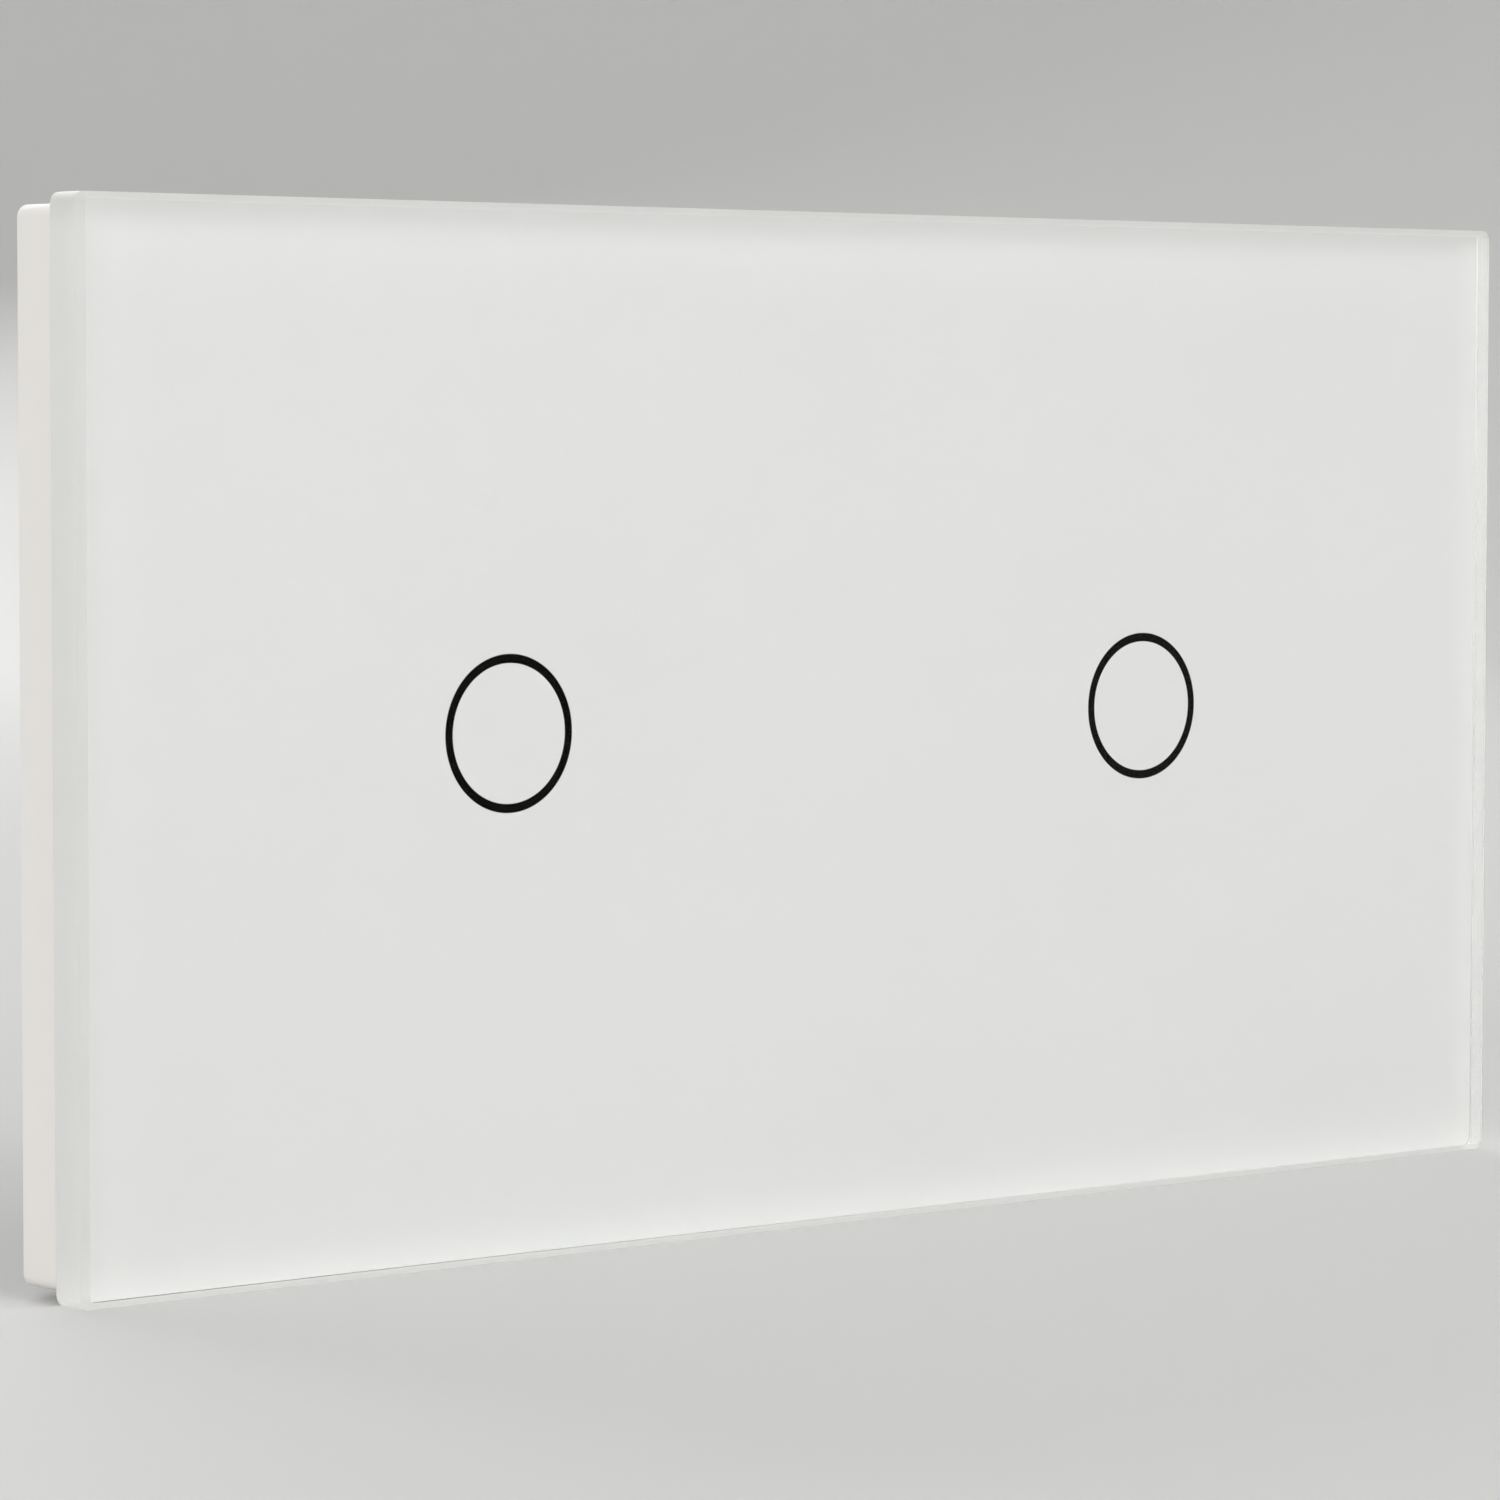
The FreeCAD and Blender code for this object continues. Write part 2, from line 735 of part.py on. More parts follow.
def relay_magnet():
    """The iron: foot, upright and core with its pole face."""
    low, high = across(iron_width)
    foot = block(iron_left, coil_x + coil_radius, relay_floor, relay_floor + iron_thickness, low, high)
    upright = block(iron_left, iron_right, relay_floor, iron_back, low, high)
    core = rod(core_radius, coil_x, relay_z, relay_floor, pole_back)
    pole = rod(pole_radius, coil_x, relay_z, pole_front, pole_back)
    return joined(foot, [upright, core, pole])


def relay_armature():
    """The moving iron with its contact leaf and the moving contact."""
    low, high = across(armature_width)
    iron = block(iron_left, coil_x + pole_radius, armature_front, armature_back, low, high)
    low, high = across(leaf_width)
    leaf = block(iron_right, contact_x + contact_radius + contact_rim, armature_back,
                 armature_back + leaf_thickness, low, high)
    contact = rod(contact_radius, contact_x, relay_z, moving_contact_front, armature_back)
    return joined(iron, [leaf, contact])


def relay_contact():
    """The fixed contact on its bent plate."""
    low, high = across(leaf_width)
    shelf_back = fixed_contact_back - contact_height
    right = contact_x + contact_radius + contact_rim + contact_plate
    left = contact_x - contact_radius - contact_rim
    upright = block(right - contact_plate, right, relay_floor, shelf_back, low, high)
    shelf = block(left, right, shelf_back - contact_plate, shelf_back, low, high)
    contact = rod(contact_radius, contact_x, relay_z, shelf_back, fixed_contact_back)
    return joined(upright, [shelf, contact])


MODULE_PIECES = {
    "yoke": yoke,
    "touch_cover": touch_cover,
    "light_guide": light_guide,
    "touch_board": touch_board,
    "touch_plate": touch_plate,
    "indicator_leds": indicator_leds,
    "touch_chip": touch_chip,
    "board_connector": board_connector,
    "rear_housing": rear_housing,
    "power_board": power_board,
    "relay_case": relay_case,
    "relay_base": relay_base,
    "relay_coil": relay_coil,
    "relay_magnet": relay_magnet,
    "relay_armature": relay_armature,
    "relay_contact": relay_contact,
    "storage_capacitor": storage_capacitor,
    "film_capacitor": film_capacitor,
    "choke": choke,
    "fuse": fuse,
    "terminal_block": terminal_block,
    "terminal_bars": terminal_bars,
}
TERMINALS = {"line": -terminal_pitch / 2, "load": terminal_pitch / 2}


def all_pieces():
    """Every sub-part of the switch under its own name."""
    pieces = {
        "glass_panel": glass_panel(),
        "glass_print": glass_print(),
        "ring_windows": Part.makeCompound(both_modules(ring_window())),
        "adhesive_tape": tape_loop(0),
        "cover_frame": cover_frame(),
        "cover_clips": cover_clips(),
        "housing_screws": housing_screws(),
    }
    for name, make in MODULE_PIECES.items():
        pieces["left_" + name], pieces["right_" + name] = both_modules(make())
    for terminal, x in TERMINALS.items():
        for name, make in (("screw", clamp_screw), ("clamp", clamp_cage)):
            left, right = both_modules(make(x))
            pieces["left_" + terminal + "_" + name] = left
            pieces["right_" + terminal + "_" + name] = right
    return pieces


os.makedirs("parts", exist_ok=True)
for name, shape in all_pieces().items():
    shape.exportStep("parts/" + name + ".step")
    print(name, "solids", len(shape.Solids), "valid", shape.isValid(), "mm3", round(shape.Volume, 2))

print("glass", glass_width, "by", glass_height, "front at", round(glass_front, 3))
print("housing back at", round(housing_back, 3), "wire holes at depth", round(wire_depth, 3))
print("clamp screws at", terminal_pitch / 2, "height", round(clamp_height, 3))
print("armature pivot", round(iron_right, 3), round(armature_front, 3), relay_z)
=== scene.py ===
# %% [markdown]
# # A double touch light switch
#
# The object is a wide glass cover with two black rings, clipped over two touch modules.
# The cover is what everybody sees, so it gets the most care: real glass, a printed back
# and a ground edge. The modules behind it are dressed too, because the cover comes off.

# %% Load the frame
import math

import bmesh
import bpy
from mathutils import Matrix, Vector


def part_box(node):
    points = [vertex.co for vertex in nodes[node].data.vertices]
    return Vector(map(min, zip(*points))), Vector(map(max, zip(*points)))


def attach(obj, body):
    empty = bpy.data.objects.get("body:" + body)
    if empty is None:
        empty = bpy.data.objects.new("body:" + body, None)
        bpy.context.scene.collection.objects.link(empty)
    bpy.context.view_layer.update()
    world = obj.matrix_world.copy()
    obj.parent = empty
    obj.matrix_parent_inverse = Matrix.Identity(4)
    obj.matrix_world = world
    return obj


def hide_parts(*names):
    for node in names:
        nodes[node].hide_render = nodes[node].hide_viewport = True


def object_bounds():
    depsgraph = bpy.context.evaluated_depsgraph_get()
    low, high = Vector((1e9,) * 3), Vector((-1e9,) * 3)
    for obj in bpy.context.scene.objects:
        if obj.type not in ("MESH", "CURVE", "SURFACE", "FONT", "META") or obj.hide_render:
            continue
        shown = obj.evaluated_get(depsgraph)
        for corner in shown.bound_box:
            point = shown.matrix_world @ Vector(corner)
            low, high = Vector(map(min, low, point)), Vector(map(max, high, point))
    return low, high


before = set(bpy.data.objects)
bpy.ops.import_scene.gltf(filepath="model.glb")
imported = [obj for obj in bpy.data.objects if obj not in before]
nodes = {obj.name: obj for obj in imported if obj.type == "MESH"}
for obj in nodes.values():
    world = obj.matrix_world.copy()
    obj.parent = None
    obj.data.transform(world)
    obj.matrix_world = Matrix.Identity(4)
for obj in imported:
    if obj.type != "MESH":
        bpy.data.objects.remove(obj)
cad_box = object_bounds()
scene = bpy.context.scene

# %% [markdown]
# ## Camera
#
# The photograph was taken from the front left, a little above the middle, with a long lens.
# Its place was worked out from the outline of the cover and the two rings. The camera is
# set from a place and three angles, so that each can be read and changed on its own.

# %% Camera
camera_place = Vector((-0.32765, -0.38707, 0.02687))
camera_azimuth = math.radians(-39.95)
camera_elevation = math.radians(3.3725)
camera_roll = math.radians(0.068)
sensor_width = 36.0
frame_pixels = 1500
focal_pixels = 5881.7

look = Vector((-math.sin(camera_azimuth) * math.cos(camera_elevation),
               math.cos(camera_azimuth) * math.cos(camera_elevation),
               -math.sin(camera_elevation)))
level_right = look.cross(Vector((0, 0, 1))).normalized()
level_up = level_right.cross(look)
right = math.cos(camera_roll) * level_right + math.sin(camera_roll) * level_up
up = math.cos(camera_roll) * level_up - math.sin(camera_roll) * level_right
camera_data = bpy.data.cameras.new("camera")
camera_data.sensor_width = sensor_width
camera_data.sensor_fit = "HORIZONTAL"
camera_data.lens = focal_pixels * sensor_width / frame_pixels
camera = bpy.data.objects.new("camera", camera_data)
turn = Matrix((right, up, -look)).transposed()
camera.matrix_world = Matrix.Translation(camera_place) @ turn.to_4x4()
scene.collection.objects.link(camera)
scene.camera = camera
print("lens", round(camera_data.lens, 2), "mm")

# %% [markdown]
# ## Small tools
#
# Colours are written as they look on a screen and turned to linear light by one function.
# Another adds a node to a material with its settings, values and links, and a third starts
# a material with the values that its real finish has.

# %% Colour and node helpers
mm = 0.001


def linear(hex_colour):
    """An sRGB hex colour as linear light."""
    parts = [int(hex_colour[i:i + 2], 16) / 255 for i in (1, 3, 5)]
    return tuple(c / 12.92 if c <= 0.04045 else ((c + 0.055) / 1.055) ** 2.4 for c in parts) + (1.0,)


def add(material, kind, values=None, links=None, **settings):
    """One node with its settings, socket values and links."""
    made = material.node_tree.nodes.new(kind)
    for name, value in settings.items():
        setattr(made, name, value)
    for name, value in (values or {}).items():
        made.inputs[name].default_value = value
    for name, source in (links or {}).items():
        material.node_tree.links.new(source, made.inputs[name])
    return made


def finish(name, hex_colour, roughness, metallic=0.0, **values):
    """A new material with one Principled shader, and that shader."""
    material = bpy.data.materials.new(name)
    material.use_nodes = True
    shader = material.node_tree.nodes["Principled BSDF"]
    shader.inputs["Base Color"].default_value = linear(hex_colour)
    shader.inputs["Roughness"].default_value = roughness
    shader.inputs["Metallic"].default_value = metallic
    for socket, value in values.items():
        shader.inputs[socket.replace("_", " ")].default_value = value
    return material, shader


def join(material, source, target):
    """A link between two sockets."""
    material.node_tree.links.new(source, target)


print("one millimetre is", mm, "of Blender's units")

# %% [markdown]
# ## From a bmesh to a finished piece
#
# Every new shape ends in the same few steps, so one function does them. All faces shade
# smoothly, edges sharper than 30 degrees stay crisp, and a Weighted Normal modifier lets each
# large face keep its own direction, so that it stays flat beside a rounded edge.
#
# Many CAD nodes have the right form but knife-sharp edges. A CAD mesh is loose triangles, so a
# copy of it is merged and its flat triangles are joined, and then a Bevel modifier finds only
# real edges. The modifier's overlap clamp is off, because one tiny edge would thin every
# rounding, and its loop slide is off, because it folds small faces where slanted edges meet.

# %% Piece helpers
same_point, weld_distance, flat_angle, sharp_angle = 1e-7, 2e-6, math.radians(0.5), math.radians(30)


def piece(name, shape, body, slot, materials, *replaced, rounding=0.0):
    """A finished object made from a bmesh. It rides on a body and stands for CAD nodes."""
    bmesh.ops.remove_doubles(shape, verts=shape.verts, dist=same_point)
    bmesh.ops.recalc_face_normals(shape, faces=shape.faces)
    mesh = bpy.data.meshes.new(name)
    shape.to_mesh(mesh)
    shape.free()
    for material in materials:
        mesh.materials.append(material)
    mesh.polygons.foreach_set("use_smooth", [True] * len(mesh.polygons))
    mesh.set_sharp_from_angle(angle=sharp_angle)
    made = bpy.data.objects.new(name, mesh)
    scene.collection.objects.link(made)
    if rounding:
        edges = made.modifiers.new("edges", "BEVEL")
        edges.width = rounding
        edges.segments = 2
        edges.limit_method = "ANGLE"
        edges.angle_limit = sharp_angle
        edges.use_clamp_overlap = False
        edges.loop_slide = False
    flat = made.modifiers.new("flat_faces", "WEIGHTED_NORMAL")
    flat.keep_sharp = True
    flat.weight = 100
    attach(made, body)
    if replaced:
        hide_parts(*replaced)
    return made


def softened(node, body, slot, materials, width):
    """A merged copy of a CAD node whose sharp edges are rounded by a Bevel modifier."""
    shape = bmesh.new()
    shape.from_mesh(nodes[node].data)
    bmesh.ops.remove_doubles(shape, verts=shape.verts, dist=weld_distance)
    bmesh.ops.dissolve_limit(shape, angle_limit=flat_angle, verts=shape.verts, edges=shape.edges)
    return piece(node + "_soft", shape, body, slot, materials, node, rounding=width)


print("edges sharper than", round(math.degrees(sharp_angle)), "degrees stay crisp")

# %% [markdown]
# ## Light
#
# A white object is best shown by even, soft light: the softer it is, the less the edges of a
# lamp show in the glass. Four large softboxes stand round the object, about half a metre
# above its middle or higher, and the world fills in. Their powers were set by comparing
# rendered colours with written ones, until a colour rendered about as it is written. The left
# one is the strongest, because the left side of the frame is as light as its front.

# %% Light
world_strength = 0.5
softboxes = {  # place in metres, width in metres, power in watts
    "left_softbox": ((-1.15, -0.75, 0.45), 0.8, 7.9),
    "front_softbox": ((0.1, -1.1, 0.8), 0.9, 4.8),
    "right_softbox": ((1.15, -0.45, 0.6), 0.8, 4.2),
    "rear_softbox": ((0.25, 1.15, 0.55), 0.9, 5.6),
}
world = bpy.data.worlds.new("studio")
world.use_nodes = True
world.node_tree.nodes["Background"].inputs["Color"].default_value = linear("#ffffff")
world.node_tree.nodes["Background"].inputs["Strength"].default_value = world_strength
scene.world = world
for name, (place, width, power) in softboxes.items():
    data = bpy.data.lights.new(name, "AREA")
    data.shape = "SQUARE"
    data.size = width
    data.energy = power
    lamp = bpy.data.objects.new(name, data)
    lamp.location = place
    lamp.rotation_euler = (-Vector(place)).to_track_quat("-Z", "Y").to_euler()
    scene.collection.objects.link(lamp)
scene.view_settings.view_transform = "Standard"

# %% [markdown]
# ## Floor and backdrop
#
# The object stands on its lower edge on pale paper. A flat floor with a wall would show a
# line behind the object, and one from only one side. A bowl of paper that rises all round
# has no line from any side. It is a profile spun once round the middle.

# %% Floor and backdrop
floor_level = cad_box[0][2]
flat_radius, curve_radius, wall_height, paper_gap = 1.1, 0.7, 1.6, 0.00002
curve_steps, round_steps = 12, 96
shape = bmesh.new()
profile = [(0.0, 0.0), (flat_radius, 0.0)]
for i in range(1, curve_steps + 1):
    bend = math.radians(90 * i / curve_steps)
    profile.append((flat_radius + curve_radius * math.sin(bend), curve_radius * (1 - math.cos(bend))))
profile.append((flat_radius + curve_radius, wall_height))
points = [shape.verts.new((r, 0, floor_level - paper_gap + z)) for r, z in profile]
line = [shape.edges.new(pair) for pair in zip(points, points[1:])]
bmesh.ops.spin(shape, geom=points + line, axis=(0, 0, 1), cent=(0, 0, 0), steps=round_steps,
               angle=math.tau, use_merge=True)
bmesh.ops.remove_doubles(shape, verts=shape.verts, dist=1e-6)
bmesh.ops.recalc_face_normals(shape, faces=shape.faces)
floor_mesh = bpy.data.meshes.new("paper_bowl")
shape.to_mesh(floor_mesh)
shape.free()
floor_mesh.polygons.foreach_set("use_smooth", [True] * len(floor_mesh.polygons))
floor = bpy.data.objects.new("paper_bowl", floor_mesh)
scene.collection.objects.link(floor)
paper, shader = finish("backdrop paper", "#d8d8d7", 0.9)
floor_mesh.materials.append(paper)
print("floor at", round(floor_level / mm, 2), "mm")

# %% [markdown]
# ## Surface effects
#
# No real surface is one flat colour. Three effects cover most of this object: a colour that
# drifts a little, a sheen that is not even, and a fine grain. Each reads the Object
# coordinates, so its scale is a real size in millimetres. The sheen and the grain can be
# stretched along one axis, as the marks of rolling are.

# %% Surface effects
def drifting(material, shader, hex_a, hex_b, size):
    """A colour that drifts between two tones over this size."""
    place = add(material, "ShaderNodeTexCoord")
    cloud = add(material, "ShaderNodeTexNoise", {"Scale": 1 / size, "Detail": 3.0},
                {"Vector": place.outputs["Object"]})
    tone = add(material, "ShaderNodeMix", {6: linear(hex_a), 7: linear(hex_b)},
               {"Factor": cloud.outputs["Fac"]}, data_type="RGBA")
    join(material, tone.outputs[2], shader.inputs["Base Color"])


def uneven_sheen(material, shader, low, high, size, stretch=(1, 1, 1)):
    """A roughness that wanders between two values over this size."""
    place = add(material, "ShaderNodeTexCoord")
    stretched = add(material, "ShaderNodeMapping", {"Scale": stretch}, {"Vector": place.outputs["Object"]})
    cloud = add(material, "ShaderNodeTexNoise", {"Scale": 1 / size, "Detail": 4.0},
                {"Vector": stretched.outputs["Vector"]})
    span = add(material, "ShaderNodeMapRange", {"To Min": low, "To Max": high, "From Min": 0.3, "From Max": 0.7},
               {"Value": cloud.outputs["Fac"]})
    join(material, span.outputs["Result"], shader.inputs["Roughness"])


def grained(material, shader, size, depth, stretch=(1, 1, 1)):
    """A grain of this size whose hollows are this deep."""
    place = add(material, "ShaderNodeTexCoord")
    stretched = add(material, "ShaderNodeMapping", {"Scale": stretch}, {"Vector": place.outputs["Object"]})
    cloud = add(material, "ShaderNodeTexNoise", {"Scale": 1 / size, "Detail": 2.0},
                {"Vector": stretched.outputs["Vector"]})
    relief = add(material, "ShaderNodeBump", {"Distance": depth, "Strength": 1.0},
                 {"Height": cloud.outputs["Fac"]})
    join(material, relief.outputs["Normal"], shader.inputs["Normal"])


print("three surface effects")

# %% [markdown]
# ## Glass
#
# The plate is toughened float glass, 4 mm thick. Float glass holds a trace of iron, which
# gives a faint green cast. Its faces are fire-polished and perfectly smooth. Its edges are
# ground, which leaves them finely frosted: nine tenths of the light still passes, spread out,
# and the rest scatters back white. The plate would mirror the pale studio in its black rings,
# where the photograph shows hardly any reflection, so its mirror at right angles is toned
# down, and the strong one at glancing angles stays. Glass that bends every ray would leave
# the print behind it without lamp light, so for shadow rays alone it is a plain clear film
# of about the same tint.

# %% Glass finishes
mirror_tone = "#505050"


def clear_solid(name, tint, film_tint, roughness, ior=1.52, clearness=1.0):
    """A clear solid that lets the lamps' light through to what lies behind it."""
    material, shader = finish(name, tint, roughness, Transmission_Weight=clearness, IOR=ior,
                              Specular_Tint=linear(mirror_tone))
    rays = add(material, "ShaderNodeLightPath")
    film = add(material, "ShaderNodeBsdfTransparent", {"Color": linear(film_tint)})
    either = add(material, "ShaderNodeMixShader", links={"Fac": rays.outputs["Is Shadow Ray"]})
    join(material, shader.outputs["BSDF"], either.inputs[1])
    join(material, film.outputs["BSDF"], either.inputs[2])
    join(material, either.outputs["Shader"], material.node_tree.nodes["Material Output"].inputs["Surface"])
    return material


# floated on molten tin: sharp reflections and no haze
polished_glass = clear_solid("toughened float glass", "#fbfdfb", "#fbfdfb", 0.0)
# ground on a wheel: frosted, paler than the face
ground_glass = clear_solid("ground glass edge", "#e7e8e5", "#f0f1ef", 0.4, clearness=0.9)
print("glass", polished_glass.name, "and", ground_glass.name)

# %% [markdown]
# The plate starts as a cube, brought to the size of the CAD node. The order of the bevels
# matters: first the four corners are rounded, then the front rim gets its ground bevel,
# and the back rim a finer one. Last, the two lines of the front bevel are rounded a little,
# because no ground edge is a perfect line.

# %% Glass plate
corner_radius, front_bevel, back_bevel, arris_round = 0.8 * mm, 0.6 * mm, 0.1 * mm, 0.06 * mm
same_depth = 1e-6
polished_from = 0.9  # a face whose normal points forward or back by this share is polished


def rim_at(shape, depth):
    """The edges that lie at one depth."""
    return [e for e in shape.edges if all(abs(v.co.y - depth) < same_depth for v in e.verts)]


low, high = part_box("glass_panel")
shape = bmesh.new()
bmesh.ops.create_cube(shape, size=1.0)
bmesh.ops.scale(shape, vec=high - low, verts=shape.verts)
bmesh.ops.translate(shape, vec=(low + high) / 2, verts=shape.verts)
corners = [e for e in shape.edges if abs(e.verts[0].co.y - e.verts[1].co.y) > mm]
bmesh.ops.bevel(shape, geom=corners, offset=corner_radius, segments=8, profile=0.5,
                affect="EDGES", material=-1)
bmesh.ops.bevel(shape, geom=rim_at(shape, high.y), offset=back_bevel, segments=1, profile=0.5,
                affect="EDGES", material=-1)
bmesh.ops.bevel(shape, geom=rim_at(shape, low.y), offset=front_bevel, segments=1, profile=0.5,
                affect="EDGES", material=-1)
for face in shape.faces:
    face.material_index = int(abs(face.normal.y) < polished_from)
lines = rim_at(shape, low.y) + rim_at(shape, low.y + front_bevel)
bmesh.ops.bevel(shape, geom=lines, offset=arris_round, segments=2, profile=0.5, affect="EDGES", material=-1)
piece("glass_plate", shape, "cover", "clear_glass", [polished_glass, ground_glass], "glass_panel")
print("glass", [round(v / mm, 2) for v in high - low], "mm")

# %% [markdown]
# ## White print and black rings
#
# The colour of the cover is enamel, screen printed on the back of the glass. It touches the
# glass with no air between, so it lies 5 thousandths of a millimetre inside the plate and has
# no gloss of its own: all the gloss is the glass in front. It stops a little short of the edge
# of the glass, and that clear margin is the thin line along the bottom in the photograph. Each
# ring is a gap in the white, filled with a smoked ink. A filled outline with two holes is the
# simplest way to a sheet with round openings that stay truly round.

# %% Print finishes
# printed white: even and dead matt
enamel, shader = finish("screen printed enamel", "#dfdede", 0.6, Specular_IOR_Level=0.0)
drifting(enamel, shader, "#dddcdc", "#e0dfdf", 40 * mm)
# printed black: it lets nothing through while the lamps are off
smoked_ink, shader = finish("smoked screen ink", "#030303", 0.6, Specular_IOR_Level=0.0)
print("inks", enamel.name, "and", smoked_ink.name)

# %% White print
ring_middle, ring_outer, ring_inner, ring_steps = 35.5 * mm, 6.5 * mm, 5.75 * mm, 128
print_overlap, side_margin, top_margin = 0.005 * mm, 0.1 * mm, 0.28 * mm
facing = Matrix.Rotation(math.radians(90), 4, "X")  # turns a flat sheet upright
low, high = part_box("glass_print")
glass_low, glass_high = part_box("glass_panel")
print_front, print_back = low.y - print_overlap, high.y
shape = bmesh.new()
bmesh.ops.create_grid(shape, x_segments=1, y_segments=1, size=0.5)
bmesh.ops.scale(shape, vec=(glass_high.x - glass_low.x - 2 * side_margin,
                            glass_high.z - glass_low.z - 2 * top_margin, 1), verts=shape.verts)
bmesh.ops.bevel(shape, geom=shape.verts[:], offset=corner_radius - side_margin, segments=8, profile=0.5,
                affect="VERTICES", material=-1)
bmesh.ops.delete(shape, geom=shape.faces[:], context="FACES_ONLY")
bmesh.ops.transform(shape, matrix=facing, verts=shape.verts)
for side in (-1, 1):
    bmesh.ops.create_circle(shape, segments=ring_steps, radius=ring_outer,
                            matrix=Matrix.Translation((side * ring_middle, 0, 0)) @ facing)
bmesh.ops.triangle_fill(shape, use_beauty=True, edges=shape.edges[:])
for side in (-1, 1):
    bmesh.ops.create_circle(shape, segments=ring_steps, radius=ring_inner, cap_ends=True,
                            matrix=Matrix.Translation((side * ring_middle, 0, 0)) @ facing)
bmesh.ops.translate(shape, vec=(0, print_front, 0), verts=shape.verts)
thick = bmesh.ops.extrude_face_region(shape, geom=shape.faces[:])
bmesh.ops.translate(shape, vec=(0, print_back - print_front, 0),
                    verts=[v for v in thick["geom"] if isinstance(v, bmesh.types.BMVert)])
piece("white_print", shape, "cover", "white_enamel", [enamel], "glass_print")
print("clear margin", round(side_margin / mm, 2), "mm at the sides and", round(top_margin / mm, 2), "mm above")

# %% [markdown]
# Much of this object is round: the rings, the lamps' cup, coils and cans. All of them are
# made as on a lathe, by one function that spins an outline about an axis. The outline is
# written in millimetres, so it can be read like a drawing. The two rings of ink are the
# first pieces made with it: each is a flat band that fills its gap in the white print.

# %% Black rings
def turned(shape, outline, centre, steps=64, material=0, axis=(0, 1, 0), out=(1, 0, 0)):
    """A shape turned round an axis. The outline is (radius, along) pairs in millimetres, from axis to axis,
    or a closed loop that never meets the axis."""
    before = set(shape.faces)
    corners = [shape.verts.new(Vector(centre) + Vector(out) * r * mm + Vector(axis) * a * mm) for r, a in outline]
    pairs = list(zip(corners, corners[1:]))
    if outline[0][0] > 0:
        pairs.append((corners[-1], corners[0]))
    bmesh.ops.spin(shape, geom=corners + [shape.edges.new(pair) for pair in pairs], axis=axis, cent=centre,
                   steps=steps, angle=math.tau, use_merge=True)
    for face in set(shape.faces) - before:
        face.material_index = material


shape = bmesh.new()
section = [(ring_inner / mm, 0), (ring_outer / mm, 0), (ring_outer / mm, (print_back - print_front) / mm),
           (ring_inner / mm, (print_back - print_front) / mm)]
for side in (-1, 1):
    turned(shape, section, (side * ring_middle, print_front, 0), ring_steps)
piece("ring_ink", shape, "cover", "smoked_ink", [smoked_ink], "ring_windows")
print("ring", round(2 * ring_outer / mm, 2), "mm across")

# %% [markdown]
# ## Frame of the cover
#
# The frame is moulded ABS in a warm white, a little creamier than the enamel, with the fine
# satin that a spark-eroded mould leaves. The CAD mesh has the right form but knife-sharp
# ribs and windows. A softened copy of it keeps every dimension and gives each edge the tiny
# radius of a moulding, which is what catches the light.

# %% Frame finish
cream_abs, shader = finish("satin moulded ABS", "#f1eeea", 0.42)
drifting(cream_abs, shader, "#f0edea", "#f3f0ec", 25 * mm)
uneven_sheen(cream_abs, shader, 0.38, 0.48, 3 * mm)
grained(cream_abs, shader, 0.3 * mm, 0.002 * mm)
print("frame", cream_abs.name)

# %% Frame and snap fingers
made = [softened(node, "cover", "cream_plastic", [cream_abs], radius * mm)
        for node, radius in (("cover_frame", 0.12), ("cover_clips", 0.05))]
print("moulded", [o.name for o in made])

# %% [markdown]
# The pins that push a moulding out of its mould leave round marks, slightly proud,
# at the back of the web where nobody sees them until the cover is off.

# %% Ejector marks
web_back, mark_columns, mark_rows = -4.4, (-69, -35.5, 0, 35.5, 69), (-37.8, 37.8)
mark_outline = [(0, 0.06), (1.2, 0.06), (1.27, 0.03), (1.27, -0.05), (0, -0.05)]
shape = bmesh.new()
for x in mark_columns:
    for z in mark_rows:
        turned(shape, mark_outline, (x * mm, web_back * mm, z * mm), 32)
piece("ejector_marks", shape, "cover", "cream_plastic", [cream_abs])
print(len(mark_columns) * len(mark_rows), "ejector marks")

# %% [markdown]
# ## Foam tape
#
# The glass is held to the frame by acrylic foam tape. It is kept as the CAD drew it and
# gets the dull, faintly blistered look of foam.

# %% Foam tape
foam, shader = finish("acrylic foam tape", "#e6e6e3", 0.85)
drifting(foam, shader, "#dededa", "#ececea", 0.8 * mm)
grained(foam, shader, 0.4 * mm, 0.02 * mm)


def dress(node, material):
    """A CAD node that keeps its mesh and takes a better material."""
    nodes[node].data.materials.clear()
    nodes[node].data.materials.append(material)


dress("adhesive_tape", foam)
print("tape", foam.name)

# %% [markdown]
# ## Metals
#
# Sheet steel for such yokes is zinc plated: cool grey, with fine lines from rolling. The
# terminals are brass, the contact springs bronze, the coil enamelled copper. A metal's colour
# is its Base Color with Metallic at 1, and what tells one from another at this size is how
# rough it is and which way its fine scratches run.

# %% Metal finishes
def metal(name, hex_a, hex_b, low, high, scratch=(1, 1, 1)):
    """A metal whose tone, sheen and scratches wander."""
    material, shader = finish(name, hex_a, low, 1.0)
    drifting(material, shader, hex_a, hex_b, 4 * mm)
    uneven_sheen(material, shader, low, high, 1.5 * mm, scratch)
    grained(material, shader, 0.35 * mm, 0.004 * mm, scratch)
    return material


rolled = (0.15, 1, 1)  # scratches about seven times as long as wide
# rolled and plated: a cool, broken sheen with streaks along the sheet
zinc_sheet = metal("zinc plated sheet steel", "#c3c6c9", "#d2d4d5", 0.28, 0.42, rolled)
# turned and plated: the same grey, brighter and with no direction
zinc_screw = metal("zinc plated turned steel", "#c9cbcc", "#d8d9d8", 0.22, 0.34)
# rolled and punched: a warm yellow gleam
brass = metal("brass strip", "#d2ab62", "#ddb974", 0.22, 0.36, rolled)
# dipped in molten tin: a soft, milky white metal
tinned = metal("tinned copper", "#cfcfca", "#dedfdb", 0.3, 0.45)
